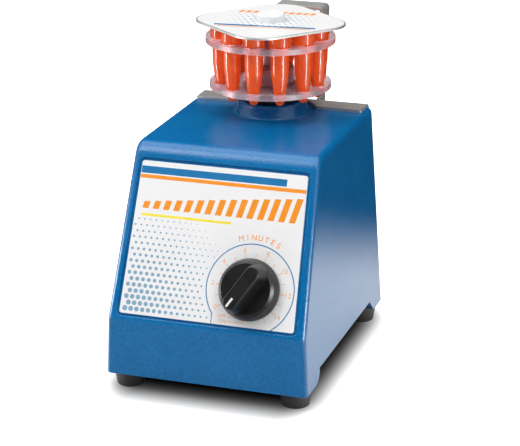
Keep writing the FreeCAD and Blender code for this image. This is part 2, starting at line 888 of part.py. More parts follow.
def mixing_head():
    edge = head_edge_radius
    body = turned([
        (0, head_low),
        (head_radius - edge, head_low),
        (round_middle((head_radius - edge, head_low + edge), edge, 315), (head_radius, head_low + edge)),
        (head_radius - edge, head_top),
        (0, head_top),
    ])
    seat = rod(head_bearing_radius + running_gap, head_low, head_bearing_top)
    stud_hole = rod(stud_radius + running_gap, head_top - stud_into_head, head_top)
    return body.cut([seat, stud_hole]).translated(FreeCAD.Vector(0, head_y, 0))


def disc_holes(radius, low, high):
    return [
        rod(
            radius,
            low,
            high,
            tube_circle_radius * math.cos(math.radians(angle)),
            tube_circle_radius * math.sin(math.radians(angle)),
        )
        for angle in tube_angles
    ]


def lower_disc():
    disc = ring(lower_disc_radius, stud_radius + fit_gap, head_top, lower_disc_top)
    holes = disc_holes(lower_hole_radius, head_top, lower_disc_top)
    mouth_radius = lower_hole_radius + lower_hole_chamfer
    mouths = [
        Part.makeCone(lower_hole_radius, mouth_radius, lower_hole_chamfer,
                      FreeCAD.Vector(hole.CenterOfMass.x, hole.CenterOfMass.y, lower_disc_top - lower_hole_chamfer))
        for hole in holes
    ]
    return disc.cut(holes + mouths).translated(FreeCAD.Vector(0, head_y, 0))


def upper_disc():
    disc = ring(upper_disc_radius, stud_radius + fit_gap, upper_disc_low, upper_disc_top)
    holes = disc_holes(tube_radius + 2 * fit_gap, upper_disc_low, upper_disc_top)
    return disc.cut(holes).translated(FreeCAD.Vector(0, head_y, 0))


def rack_hub():
    shelf = lower_disc_top + hub_height
    hub = turned([
        (stud_radius + fit_gap, lower_disc_top),
        (hub_radius, lower_disc_top),
        (hub_radius, shelf - hub_chamfer),
        (hub_radius - hub_chamfer, shelf),
        (hub_post_radius, shelf),
        (hub_post_radius, upper_disc_low),
        (stud_radius + fit_gap, upper_disc_low),
    ])
    return hub.translated(FreeCAD.Vector(0, head_y, 0))


def rack_stud():
    return rod(stud_radius, head_top - stud_into_head, stud_top, 0, head_y)


def rack_nut():
    top = upper_disc_top + rack_nut_height
    nut = hexagon(rack_nut_width, upper_disc_top, top).cut(rod(stud_radius + fit_gap, upper_disc_top, top))
    return nut.translated(FreeCAD.Vector(0, head_y, 0))


# One microtube, hung by its rim on the upper disc
def sample_tube():
    rim_top = upper_disc_top + tube_rim_height
    tip = upper_disc_top - tube_length
    cone_top = upper_disc_top - tube_body
    bore = tube_radius - tube_wall
    tip_bore = tube_tip_radius - tube_wall
    outer_centre = (0, tip + tube_tip_radius)
    return turned([
        (0, tip),
        (round_middle(outer_centre, tube_tip_radius, 315), (tube_tip_radius, tip + tube_tip_radius)),
        (tube_seat_radius, lower_disc_top),
        (tube_waist_radius, cone_top),
        (tube_radius, upper_disc_low),
        (tube_radius, upper_disc_top),
        (tube_rim_radius, upper_disc_top),
        (tube_rim_radius, rim_top),
        (bore, rim_top),
        (bore, upper_disc_low),
        (tube_waist_radius - tube_wall, cone_top),
        (tube_seat_radius - tube_wall, lower_disc_top),
        (tip_bore, tip + tube_tip_radius),
        (round_middle(outer_centre, tip_bore, 315), (0, tip + tube_wall)),
    ])


def sample_tubes():
    one = sample_tube().translated(FreeCAD.Vector(tube_circle_radius, head_y, 0))
    return ring_of(one, head_y)


def tube_caps():
    low = upper_disc_top + tube_rim_height
    plug = tube_radius - tube_wall - fit_gap
    edge = cap_edge_radius
    cap = turned([
        (0, low - cap_plug_depth),
        (plug, low - cap_plug_depth),
        (plug, low),
        (cap_radius, low),
        (cap_radius, cap_top - edge),
        (round_middle((cap_radius - edge, cap_top - edge), edge, 45), (cap_radius - edge, cap_top)),
        (0, cap_top),
    ])
    return ring_of(cap.translated(FreeCAD.Vector(tube_circle_radius, head_y, 0)), head_y)


def square_sheet(side, radius, low, high):
    half = side / 2
    plate = rounded_plate(side, side, -half, half, radius, high - low)
    plate = plate.rotated(origin, along_z, lid_turn)
    plate = plate.cut(rod(lid_hole_radius, 0, high - low))
    return plate.translated(FreeCAD.Vector(0, head_y, low))


def lid_plate():
    return square_sheet(lid_side, lid_corner_radius, cap_top, lid_top)


def lid_label():
    return square_sheet(lid_side - 2 * label_margin, lid_corner_radius - label_margin, lid_top, label_top)


def lid_knob():
    edge = lid_knob_edge
    bore = stud_radius + running_gap
    knob = turned([
        (bore, label_top),
        (lid_knob_radius, label_top),
        (lid_knob_radius, lid_knob_top - edge),
        (round_middle((lid_knob_radius - edge, lid_knob_top - edge), edge, 45),
         (lid_knob_radius - edge, lid_knob_top)),
        (0, lid_knob_top),
        (0, stud_top + fit_gap),
        (bore, stud_top + fit_gap),
    ])
    return knob.translated(FreeCAD.Vector(0, head_y, 0))


# Sheet that follows the rear top edge of the housing, one or more sheet thicknesses out
def bent_sheet(layer, low, high):
    return rear_wedge(-(layer + 1) * sheet).cut(rear_wedge(-layer * sheet)).common(block(low, high))


def bracket_screw_places(layer):
    up = (housing_height - bracket_screw_drop) / math.cos(rear_lean)
    return [rear_place(side * bracket_screw_x, up, layer * sheet) for side in (-1, 1)]


def arm_screw_places(layer):
    x = arm_x + arm_foot_width / 2
    step = (arm_foot_low - arm_foot_high) / 4
    middle = (arm_foot_low + arm_foot_high) / 2
    drops = (middle - step, middle + step)
    return [rear_place(x, (housing_height - drop) / math.cos(rear_lean), layer * sheet) for drop in drops]


def stabiliser_bracket():
    half = bracket_width / 2
    body = bent_sheet(0, (-half, bracket_front, top_z - bracket_flange), (half, reach, reach))
    notch = prism([
        (-notch_front_width / 2, bracket_front, 0),
        (notch_front_width / 2, bracket_front, 0),
        (notch_rear_width / 2, notch_rear, 0),
        (-notch_rear_width / 2, notch_rear, 0),
    ], along_z * reach)
    holes = [
        placed(rod(screw_radius + fit_gap, -wall, 2 * wall), place)
        for place in bracket_screw_places(0) + arm_screw_places(0)
    ]
    return body.cut([notch] + holes)


def bracket_arm():
    foot_top = top_z - arm_foot_high
    foot_low = top_z - arm_foot_low
    foot = bent_sheet(1, (arm_x - sheet, bracket_front, foot_low), (arm_x + arm_foot_width, reach, foot_top))
    holes = [placed(rod(screw_radius + fit_gap, -wall, 3 * sheet), place) for place in arm_screw_places(0)]
    bend_z = arm_top - arm_bend_radius
    leg = prism([
        (arm_x - sheet, rear_y(foot_low, -sheet), foot_low),
        (arm_x - sheet, arm_toe_rear, top_z - arm_toe_drop),
        (arm_x - sheet, arm_rear, bend_z),
        (arm_x - sheet, arm_front, bend_z),
        (arm_x - sheet, arm_front, top_z - arm_neck_drop),
        (arm_x - sheet, rear_y(foot_top, -sheet), foot_top),
    ], along_x * sheet)
    bend_x = arm_x - arm_bend_radius
    bend = Part.makeCylinder(arm_bend_radius, arm_width, FreeCAD.Vector(bend_x, arm_front, bend_z), along_y)
    inner = Part.makeCylinder(
        arm_bend_radius - sheet, arm_width, FreeCAD.Vector(bend_x, arm_front, bend_z), along_y)
    corner = block((bend_x, arm_front, bend_z), (arm_x, arm_rear, arm_top))
    bend = bend.cut(inner).common(corner)
    top = block((arm_left, arm_front, arm_top - sheet), (bend_x, arm_rear, arm_top))
    return foot.cut(holes).fuse([leg, bend, top]).removeSplitter()


def wall_screws(places, layers):
    one = screw(layers * sheet + short_screw_grip)
    return Part.makeCompound([placed(one, place) for place in places])


pieces = {
    "housing_shell": housing_shell(),
    "front_faceplate": front_faceplate(),
    "base_plate": base_plate(),
    "base_plate_screws": base_plate_screws(),
    "foot_screws": foot_screws(),
    "cord_gland": cord_gland(),
    "gland_nut": gland_nut(),
    "timer_case": timer_case(),
    "timer_nut": timer_nut(),
    "motor_stator": motor_stator(),
    "motor_windings": motor_windings(),
    "motor_upper_bracket": motor_upper_bracket(),
    "motor_lower_bracket": motor_lower_bracket(),
    "upper_bearing": motor_bearing(upper_bracket_top - bearing_width),
    "lower_bearing": motor_bearing(lower_bracket_low),
    "motor_tie_bolts": motor_tie_bolts(),
    "motor_isolators": motor_isolators(),
    "motor_mount_screws": motor_mount_screws(),
    "collar_seal": collar_seal(),
    "stabiliser_bracket": stabiliser_bracket(),
    "bracket_arm": bracket_arm(),
    "bracket_screws": wall_screws(bracket_screw_places(1), 1),
    "arm_screws": wall_screws(arm_screw_places(2), 2),
    "timer_knob": timer_knob(),
    "knob_pointer": knob_pointer(),
    "timer_shaft": timer_shaft(),
    "motor_shaft": motor_shaft(),
    "motor_rotor": motor_rotor(),
    "cooling_fan": cooling_fan(),
    "eccentric_crank": eccentric_crank(),
    "crank_set_screw": crank_set_screw(),
    "counterweight": counterweight(),
    "head_bearing": head_bearing(),
    "mixing_head": mixing_head(),
    "lower_disc": lower_disc(),
    "upper_disc": upper_disc(),
    "rack_hub": rack_hub(),
    "rack_stud": rack_stud(),
    "rack_nut": rack_nut(),
    "sample_tubes": sample_tubes(),
    "tube_caps": tube_caps(),
    "lid_plate": lid_plate(),
    "lid_label": lid_label(),
    "lid_knob": lid_knob(),
}
foot_names = ["front_left_foot", "front_right_foot", "rear_left_foot", "rear_right_foot"]
for name, spot in zip(foot_names, foot_spots):
    pieces[name] = rubber_foot(spot[0], spot[1])

# The origin goes to the floor under the middle of the whole mixer
whole = Part.makeCompound(list(pieces.values())).optimalBoundingBox()
shift = FreeCAD.Vector(0, -(whole.YMin + whole.YMax) / 2, 0)
print("moved along Y by", round(shift.y, 4))

os.makedirs("parts", exist_ok=True)
for name, shape in pieces.items():
    shape.translated(shift).exportStep("parts/" + name + ".step")
    solids = shape.Solids
    print(name, len(solids), "solids", round(shape.Volume, 1), "mm3", "valid" if shape.isValid() else "NOT VALID")
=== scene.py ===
import json
import math
import bmesh
import bpy
from mathutils import Matrix, Vector


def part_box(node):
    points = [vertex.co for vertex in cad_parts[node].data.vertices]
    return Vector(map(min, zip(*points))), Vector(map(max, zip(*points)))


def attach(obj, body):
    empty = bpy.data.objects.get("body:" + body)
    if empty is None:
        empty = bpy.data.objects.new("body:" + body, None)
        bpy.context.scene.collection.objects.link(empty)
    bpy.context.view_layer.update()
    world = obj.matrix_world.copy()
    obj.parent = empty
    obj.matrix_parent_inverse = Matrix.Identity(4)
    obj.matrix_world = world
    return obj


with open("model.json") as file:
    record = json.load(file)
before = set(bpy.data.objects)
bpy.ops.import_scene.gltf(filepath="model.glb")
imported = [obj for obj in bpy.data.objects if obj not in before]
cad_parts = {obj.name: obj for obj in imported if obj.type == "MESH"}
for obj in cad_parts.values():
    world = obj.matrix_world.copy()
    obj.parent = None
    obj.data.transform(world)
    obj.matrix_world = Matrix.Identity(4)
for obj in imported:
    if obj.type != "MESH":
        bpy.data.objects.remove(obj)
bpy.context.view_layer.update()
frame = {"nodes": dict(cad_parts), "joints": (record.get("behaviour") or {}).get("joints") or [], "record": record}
nodes = frame["nodes"]
joints = {joint["name"]: joint for joint in frame["joints"]}
print("frame:", len(nodes), "pieces from the CAD model")


# Colours are written as 0 to 255 screen levels
def linear(level):
    share = level / 255
    return share / 12.92 if share <= 0.04045 else ((share + 0.055) / 1.055) ** 2.4


def colour(levels):
    return tuple(linear(level) for level in levels) + (1.0,)


# One node with its settings, and its inputs as values or as sockets to link
def addNode(tree, kind, inputs=None, **settings):
    node = tree.nodes.new(kind)
    for key, value in settings.items():
        setattr(node, key, value)
    for key, value in (inputs or {}).items():
        if isinstance(value, bpy.types.NodeSocket):
            tree.links.new(value, node.inputs[key])
        else:
            node.inputs[key].default_value = value
    return node


def mathNode(tree, operation, first, second=0.0, clamp=False):
    inputs = {0: first, 1: second}
    return addNode(tree, "ShaderNodeMath", inputs, operation=operation, use_clamp=clamp).outputs[0]


def vectorMath(tree, operation, first, second, output=0):
    inputs = {0: first, 1: second}
    return addNode(tree, "ShaderNodeVectorMath", inputs, operation=operation).outputs[output]


# A place counted in steps of a given size
def inSteps(tree, spot, size):
    inputs = {0: spot, "Scale": mathNode(tree, "DIVIDE", 1.0, size)}
    return addNode(tree, "ShaderNodeVectorMath", inputs, operation="SCALE").outputs[0]


# Inputs 6 and 7 of this node are its two colours, and output 2 is their mix
def mixColour(tree, factor, first, second):
    inputs = {0: factor, 6: first, 7: second}
    return addNode(tree, "ShaderNodeMix", inputs, data_type="RGBA").outputs[2]


def newGroup(name, kind, inputs, outputs):
    tree = bpy.data.node_groups.new(name, kind)
    for label, socketType, value in inputs:
        socket = tree.interface.new_socket(label, in_out="INPUT", socket_type=socketType)
        if value is not None:
            socket.default_value = value
    for label, socketType in outputs:
        tree.interface.new_socket(label, in_out="OUTPUT", socket_type=socketType)
    return tree, addNode(tree, "NodeGroupInput").outputs, addNode(tree, "NodeGroupOutput")


# The part of a noise's range that counts, and how steeply an edge's mask rises with the surface's turn
noiseSpan = {"From Min": 0.3, "From Max": 0.7}
patchSpan = {"From Min": 0.35, "From Max": 0.65}
edgeGain = 5.0


# Fine surface grain and slow changes of tone, both in real sizes
def buildSurfaceGrain():
    tree, given, out = newGroup("surfaceGrain", "ShaderNodeTree", [
        ("Grain Size", "NodeSocketFloat", 0.001),
        ("Stretch", "NodeSocketVector", (1, 1, 1)),
        ("Tone Size", "NodeSocketFloat", 0.02),
    ], [("Height", "NodeSocketFloat"), ("Fine Tone", "NodeSocketFloat"), ("Tone", "NodeSocketFloat")])
    spot = addNode(tree, "ShaderNodeTexCoord").outputs["Object"]
    fine = vectorMath(tree, "MULTIPLY", inSteps(tree, spot, given["Grain Size"]), given["Stretch"])
    bumps = addNode(tree, "ShaderNodeTexNoise", {
        "Vector": fine, "Scale": 1.0, "Detail": 2.5, "Roughness": 0.55,
    })
    clouds = addNode(tree, "ShaderNodeTexNoise", {
        "Vector": inSteps(tree, spot, given["Tone Size"]), "Scale": 1.0, "Detail": 5.0, "Roughness": 0.6,
    })
    tone = addNode(tree, "ShaderNodeMapRange", {"Value": clouds.outputs[0], **noiseSpan})
    specks = addNode(tree, "ShaderNodeMapRange", {"Value": bumps.outputs[0], **noiseSpan})
    tree.links.new(bumps.outputs[0], out.inputs["Height"])
    tree.links.new(specks.outputs[0], out.inputs["Fine Tone"])
    tree.links.new(tone.outputs[0], out.inputs["Tone"])
    return tree


# Rounded edges, and a mask along them that is broken up as rubbed edges are: the lighter tint it carries is partly
# rubbed wear and partly painted highlight
def buildEdgeRub():
    tree, given, out = newGroup("edgeWearAndHighlight", "ShaderNodeTree", [
        ("Reach", "NodeSocketFloat", 0.0006),
        ("Break Size", "NodeSocketFloat", 0.004),
    ], [("Edge", "NodeSocketFloat"), ("Normal", "NodeSocketVector")])
    rounded = addNode(tree, "ShaderNodeBevel", {"Radius": given["Reach"]}, samples=6).outputs[0]
    plain = addNode(tree, "ShaderNodeNewGeometry").outputs["Normal"]
    turn = vectorMath(tree, "DOT_PRODUCT", rounded, plain, "Value")
    sharp = mathNode(tree, "MULTIPLY", mathNode(tree, "SUBTRACT", 1.0, turn), edgeGain, True)
    spot = addNode(tree, "ShaderNodeTexCoord").outputs["Object"]
    pace = mathNode(tree, "DIVIDE", 1.0, given["Break Size"])
    broken = addNode(tree, "ShaderNodeTexNoise", {"Vector": spot, "Scale": pace, "Detail": 4.0})
    patches = addNode(tree, "ShaderNodeMapRange", {"Value": broken.outputs[0], **patchSpan})
    tree.links.new(mathNode(tree, "MULTIPLY", sharp, patches.outputs[0]), out.inputs["Edge"])
    tree.links.new(rounded, out.inputs["Normal"])
    return tree


surfaceGrain = buildSurfaceGrain()
edgeWearAndHighlight = buildEdgeRub()
print("effects: surface grain and edge rub")


# A finish: two tones, roughness that follows the tone, grain as bump and, where it shows, a lighter edge that is
# partly rubbed wear and partly painted highlight
def makeFinish(name, look):
    material = bpy.data.materials.new(name)
    material.use_nodes = True
    tree = material.node_tree
    shader = tree.nodes["Principled BSDF"]
    for socket, value in look.get("shader", {}).items():
        shader.inputs[socket].default_value = value
    grain = addNode(tree, "ShaderNodeGroup", {
        "Grain Size": look["grain"], "Stretch": look.get("stretch", (1, 1, 1)), "Tone Size": look["toneSize"],
    }, node_tree=surfaceGrain)
    speckle = look.get("speckle", 0.0)
    fine = mathNode(tree, "MULTIPLY", grain.outputs["Fine Tone"], speckle)
    wide = mathNode(tree, "MULTIPLY", grain.outputs["Tone"], 1.0 - speckle)
    tint = mixColour(tree, mathNode(tree, "ADD", fine, wide), colour(look["dark"]), colour(look["light"]))
    rough = addNode(tree, "ShaderNodeMapRange", {
        "Value": grain.outputs["Tone"], "To Min": look["rough"][0], "To Max": look["rough"][1],
    }).outputs[0]
    bump = addNode(tree, "ShaderNodeBump", {
        "Strength": look["bump"], "Distance": look["grain"], "Height": grain.outputs["Height"],
    })
    if "edge" in look:
        edge = addNode(tree, "ShaderNodeGroup", {
            "Reach": look["edge"]["reach"], "Break Size": look["edge"]["breakSize"],
        }, node_tree=edgeWearAndHighlight)
        amount = mathNode(tree, "MULTIPLY", edge.outputs["Edge"], look["edge"]["amount"])
        tint = mixColour(tree, amount, tint, colour(look["edge"]["tint"]))
        tree.links.new(edge.outputs["Normal"], bump.inputs["Normal"])
    tree.links.new(tint, shader.inputs["Base Color"])
    tree.links.new(rough, shader.inputs["Roughness"])
    tree.links.new(bump.outputs[0], shader.inputs["Normal"])
    return material


bluePaint = makeFinish("bluePaint", {
    "dark": (0, 95, 154), "light": (0, 122, 187), "rough": (0.2, 0.26), "speckle": 0.8,
    "grain": 0.001, "toneSize": 0.03, "bump": 0.16,
    # Lighter blue edge tint: partly rubbed wear, partly painted highlight on the rounded edges
    "edge": {"reach": 0.0006, "breakSize": 0.004, "amount": 0.2, "tint": (60, 140, 195)},
})
whitePrint = makeFinish("whitePrint", {
    "dark": (240, 239, 240), "light": (243, 242, 243), "rough": (0.3, 0.36),
    "grain": 0.0006, "toneSize": 0.02, "bump": 0.03,
})
zincSteel = makeFinish("zincSteel", {
    "dark": (150, 150, 148), "light": (192, 192, 188), "rough": (0.28, 0.45),
    "grain": 0.0007, "toneSize": 0.006, "bump": 0.12, "shader": {"Metallic": 1.0},
})
blackPlastic = makeFinish("blackPlastic", {
    "dark": (17, 17, 18), "light": (23, 23, 24), "rough": (0.3, 0.38),
    "grain": 0.0005, "toneSize": 0.01, "bump": 0.08,
    # Lighter grey edge tint: partly rubbed wear, partly painted highlight on the edges
    "edge": {"reach": 0.0005, "breakSize": 0.02, "amount": 0.4, "tint": (52, 54, 56)},
})
greyPlastic = makeFinish("greyPlastic", {
    "dark": (92, 92, 94), "light": (108, 108, 110), "rough": (0.45, 0.6),
    "grain": 0.0006, "toneSize": 0.01, "bump": 0.15,
})
statorSteel = makeFinish("statorSteel", {
    "dark": (74, 74, 76), "light": (110, 109, 108), "rough": (0.4, 0.6),
    "grain": 0.0006, "stretch": (0.05, 0.05, 1), "toneSize": 0.008, "bump": 0.5, "shader": {"Metallic": 0.9},
})
copperWire = makeFinish("copperWire", {
    "dark": (150, 78, 40), "light": (205, 118, 70), "rough": (0.25, 0.4),
    "grain": 0.0006, "stretch": (0.1, 0.1, 1), "toneSize": 0.004, "bump": 0.6, "shader": {"Metallic": 1.0},
})
castAluminium = makeFinish("castAluminium", {
    "dark": (150, 151, 153), "light": (182, 183, 184), "rough": (0.45, 0.62),
    "grain": 0.0008, "toneSize": 0.01, "bump": 0.3, "shader": {"Metallic": 1.0},
})
bearingSteel = makeFinish("bearingSteel", {
    "dark": (168, 169, 172), "light": (200, 201, 204), "rough": (0.16, 0.28),
    "grain": 0.0004, "stretch": (0.05, 0.05, 1), "toneSize": 0.006, "bump": 0.1, "shader": {"Metallic": 1.0},
})
blackRubber = makeFinish("blackRubber", {
    "dark": (42, 41, 41), "light": (58, 57, 56), "rough": (0.5, 0.66),
    "grain": 0.0006, "toneSize": 0.006, "bump": 0.2,
})
# The mixing head's rubber: a darker copy of the black rubber with weaker gloss, as painted shade where the head
# sits under the rack
headRubberPaintedShade = makeFinish("headRubberPaintedShade", {
    "dark": (9, 9, 10), "light": (15, 15, 16), "rough": (0.55, 0.7),
    "grain": 0.0006, "toneSize": 0.006, "bump": 0.2, "shader": {"Specular IOR Level": 0.2},
})
stainless = makeFinish("stainless", {
    "dark": (178, 178, 174), "light": (208, 207, 203), "rough": (0.36, 0.46), "speckle": 0.5,
    "grain": 0.0004, "stretch": (0.03, 1, 1), "toneSize": 0.012, "bump": 0.18,
    # Pale edge tint: partly rubbed wear, partly painted highlight on the edges
    "edge": {"reach": 0.0004, "breakSize": 0.01, "amount": 0.5, "tint": (225, 225, 222)},
    "shader": {"Metallic": 0.55},
})
brass = makeFinish("brass", {
    "dark": (176, 140, 70), "light": (206, 172, 96), "rough": (0.22, 0.36),
    "grain": 0.0005, "stretch": (0.05, 0.05, 1), "toneSize": 0.006, "bump": 0.12, "shader": {"Metallic": 1.0},
})
# Its pink tint is a painted reflection of the orange tubes around the hub
turnedAluminium = makeFinish("turnedAluminium", {
    "dark": (168, 128, 132), "light": (186, 148, 152), "rough": (0.34, 0.42),
    "grain": 0.0005, "stretch": (0.04, 0.04, 1), "toneSize": 0.008, "bump": 0.1, "shader": {"Metallic": 0.3},
})
whiteNylon = makeFinish("whiteNylon", {
    "dark": (236, 237, 236), "light": (246, 246, 245), "rough": (0.34, 0.44),
    "grain": 0.0005, "toneSize": 0.006, "bump": 0.05,
    "shader": {"Subsurface Weight": 0.3, "Subsurface Radius": (1, 1, 1), "Subsurface Scale": 0.002},
})
# Clear discs; their faint pink tint is painted light from the orange tubes seen in and through them
clearAcrylic = makeFinish("clearAcrylic", {
    "dark": (246, 226, 233), "light": (252, 236, 241), "rough": (0.28, 0.34),
    "grain": 0.002, "toneSize": 0.01, "bump": 0.01,
    "shader": {"Transmission Weight": 0.78, "IOR": 1.49},
})
# Orange tubes and caps; their faint orange glow is painted light, standing in for light that passes through them
# from around
orangeTube = makeFinish("orangeTube", {
    "dark": (246, 84, 24), "light": (252, 96, 36), "rough": (0.12, 0.18),
    "grain": 0.0008, "toneSize": 0.008, "bump": 0.02,
    "shader": {"Subsurface Weight": 0.3, "Subsurface Radius": (1.0, 0.3, 0.1), "Subsurface Scale": 0.002,
               "Specular IOR Level": 0.4, "Emission Color": (1.0, 0.13, 0.02, 1), "Emission Strength": 0.11},
})


# How many levels an ink's light tone is above its dark one
inkFade = 8


def makeInk(name, levels):
    faded = tuple(min(255, level + inkFade) for level in levels)
    return makeFinish(name, {
        "dark": levels, "light": faded, "rough": (0.3, 0.42), "grain": 0.0003, "toneSize": 0.004, "bump": 0.05,
    })


blueInk = makeInk("blueInk", (0, 112, 170))
orangeInk = makeInk("orangeInk", (244, 146, 26))
peachInk = makeInk("peachInk", (242, 176, 118))
paleInk = makeInk("paleInk", (128, 166, 190))
yellowInk = makeInk("yellowInk", (244, 230, 60))

slotFinish = {
    "blue_paint": bluePaint, "white_print": whitePrint, "zinc_steel": zincSteel,
    "black_plastic": blackPlastic, "grey_plastic": greyPlastic, "stator_steel": statorSteel,
    "copper_wire": copperWire, "cast_aluminium": castAluminium, "bearing_steel": bearingSteel,
    "black_rubber": blackRubber, "stainless": stainless, "brass": brass, "clear_acrylic": clearAcrylic,
    "turned_aluminium": turnedAluminium, "orange_tube": orangeTube, "white_nylon": whiteNylon,
}
for subpart in frame["record"]["subparts"]:
    for materialSlot in nodes[subpart["node"]].material_slots:
        materialSlot.material = slotFinish[subpart["material_slot"]]
# The mixing head takes the darker rubber, as painted shade
for materialSlot in nodes["mixing_head"].material_slots:
    materialSlot.material = headRubberPaintedShade
print("finishes:", len(slotFinish), "slots dressed")


# Places on the slanted front, measured from the dial's middle: across, up the slope and out of the plate
def reachAlong(name, start, axis):
    spread = [(vertex.co - start).dot(axis) for vertex in nodes[name].data.vertices]
    return min(spread), max(spread)


across = Vector((1, 0, 0))
outward = Vector(joints["timer_turn"]["axis"]).normalized()
upSlope = outward.cross(across)
knobBase = Vector(joints["timer_turn"]["pos_m"])
dialMiddle = knobBase + outward * reachAlong("front_faceplate", knobBase, outward)[1]
plateLeft, plateRight = reachAlong("front_faceplate", dialMiddle, across)
plateLow, plateHigh = reachAlong("front_faceplate", dialMiddle, upSlope)
panelPlace = Matrix((across, upSlope, outward)).transposed().to_4x4()
panelPlace.translation = dialMiddle
mm = 0.001
weldReach = 1e-7


def addPiece(name, mesh, material, body):
    piece = bpy.data.objects.new(name, mesh)
    bpy.context.scene.collection.objects.link(piece)
    mesh.materials.append(material)
    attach(piece, body)


# Flat shapes of the print, each a thin prism on its face
def addPrism(shape, outline, thickness):
    low = [shape.verts.new((x, y, 0)) for x, y in outline]
    high = [shape.verts.new((x, y, thickness)) for x, y in outline]
    shape.faces.new(low[::-1])
    shape.faces.new(high)
    for i in range(len(outline)):
        j = (i + 1) % len(outline)
        shape.faces.new((low[i], low[j], high[j], high[i]))


# An object's mesh with its modifiers applied, or that of its letters
def finalMesh(holder):
    graph = bpy.context.evaluated_depsgraph_get()
    return bpy.data.meshes.new_from_object(holder.evaluated_get(graph))


def addLettering(shape, words, size, place, thickness):
    letters = bpy.data.curves.new("lettering", "FONT")
    letters.body = words
    letters.size = size
    letters.align_x = "CENTER"
    letters.align_y = "CENTER"
    letters.extrude = thickness / 2
    holder = bpy.data.objects.new("lettering", letters)
    bpy.context.scene.collection.objects.link(holder)
    flat = finalMesh(holder)
    flat.transform(place @ Matrix.Translation((0, 0, thickness / 2)))
    shape.from_mesh(flat)
    bpy.data.objects.remove(holder)
    bpy.data.curves.remove(letters)
    bpy.data.meshes.remove(flat)


def arcPoints(radius, startDegrees, endDegrees, count):
    sweep = endDegrees - startDegrees
    angles = [math.radians(startDegrees + sweep * i / (count - 1)) for i in range(count)]
    return [(radius * math.cos(angle), radius * math.sin(angle)) for angle in angles]


def bar(left, right, low, high):
    return [(left, low), (right, low), (right, high), (left, high)]


def leaningBar(left, right, low, high, slope):
    lean = slope * (high - low)
    return [(left, low), (right, low), (right + lean, high), (left + lean, high)]


def meshFrom(shape, name, place):
    mesh = bpy.data.meshes.new(name)
    bmesh.ops.remove_doubles(shape, verts=list(shape.verts), dist=weldReach)
    bmesh.ops.recalc_face_normals(shape, faces=list(shape.faces))
    shape.to_mesh(mesh)
    shape.free()
    mesh.transform(place)
    return mesh


# All shapes of one ink, as a piece on the body that carries the print
def addPrint(name, shape, ink, place, body):
    addPiece(name, meshFrom(shape, name, place), ink, body)


dial = {
    "thickness": 0.04 * mm,
    "lineRadius": 26 * mm, "lineWidth": 0.6 * mm, "lineStart": -56, "lineEnd": 217, "linePoints": 120,
    "tailGap": 0.1 * mm, "tailShift": 0.1 * mm,
    "zeroAngle": 211.7, "minuteStep": -17.85, "minutes": 15,
    "numeralEvery": 2, "numeralRadius": 22.6 * mm, "numeralSize": 3.9 * mm,
    "tickRadius": 19.4 * mm, "tickLength": 2.6 * mm, "tickWidth": 0.32 * mm,
    "word": "MINUTES", "wordRadius": 29.6 * mm, "wordSize": 4.6 * mm, "wordMiddle": 85, "wordStep": 7.4,
    "switchSize": 2.7 * mm, "offSpot": (-14.6 * mm, -16.5 * mm), "onSpot": (-14.0 * mm, -19.2 * mm),
    "offLead": (3.4 * mm, 5.6 * mm), "onLead": (2.6 * mm, 12.2 * mm), "onLeadTop": 1.8 * mm,
}


def minuteAngle(minute):
    return math.radians(dial["zeroAngle"] + dial["minuteStep"] * minute)


# A round line with an open end that runs down to the plate's low edge
def drawDialLine():
    shape = bmesh.new()
    half = dial["lineWidth"] / 2
    start, end, count = dial["lineStart"], dial["lineEnd"], dial["linePoints"]
    outer = arcPoints(dial["lineRadius"] + half, start, end, count)
    inner = arcPoints(dial["lineRadius"] - half, end, start, count)
    tailLow = plateLow + dial["tailGap"]
    tail = [(x + dial["tailShift"], tailLow) for x, y in (outer[-1], inner[0])]
    addPrism(shape, outer + tail + inner, dial["thickness"])
    addPrint("dial_line", shape, blueInk, panelPlace, "housing")


def drawDialWord():
    shape = bmesh.new()
    middle = (len(dial["word"]) - 1) / 2
    for i, letter in enumerate(dial["word"]):
        angle = math.radians(dial["wordMiddle"] - (i - middle) * dial["wordStep"])
        turn = Matrix.Rotation(angle - math.pi / 2, 4, "Z")
        spot = turn @ Matrix.Translation((0, dial["wordRadius"], 0))
        addLettering(shape, letter, dial["wordSize"], spot, dial["thickness"])
    addPrint("dial_word", shape, orangeInk, panelPlace, "housing")


# Numerals, and the two switch words with a thin lead from each
def drawDialScale():
    shape = bmesh.new()
    radius, width, thickness = dial["numeralRadius"], dial["tickWidth"], dial["thickness"]
    for minute in range(0, dial["minutes"], dial["numeralEvery"]):
        angle = minuteAngle(minute)
        spot = Matrix.Translation((radius * math.cos(angle), radius * math.sin(angle), 0))
        addLettering(shape, str(minute), dial["numeralSize"], spot, thickness)
    for words, (x, y) in (("OFF", dial["offSpot"]), ("ON", dial["onSpot"])):
        addLettering(shape, words, dial["switchSize"], Matrix.Translation((x, y, 0)), thickness)
    for (x, y), (start, end) in ((dial["offSpot"], dial["offLead"]), (dial["onSpot"], dial["onLead"])):
        addPrism(shape, bar(x + start, x + end, y - width / 2, y + width / 2), thickness)
    x, y = dial["onSpot"]
    right = x + dial["onLead"][1]
    addPrism(shape, bar(right - width, right, y + width / 2, y + dial["onLeadTop"]), thickness)
    addPrint("dial_scale", shape, peachInk, panelPlace, "housing")


# A tree's result as a plain mesh in its place
def growPiece(name, tree, values, place, body):
    holder = bpy.data.objects.new(name, bpy.data.meshes.new(name))
    bpy.context.scene.collection.objects.link(holder)
    modifier = holder.modifiers.new("build", "NODES")
    modifier.node_group = tree
    for item in tree.interface.items_tree:
        if item.in_out == "INPUT" and item.name in values:
            modifier[item.identifier] = values[item.name]
    holder.update_tag()
    plain = finalMesh(holder)
    holder.modifiers.clear()
    holder.data = plain
    plain.name = name
    plain.transform(place)
    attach(holder, body)


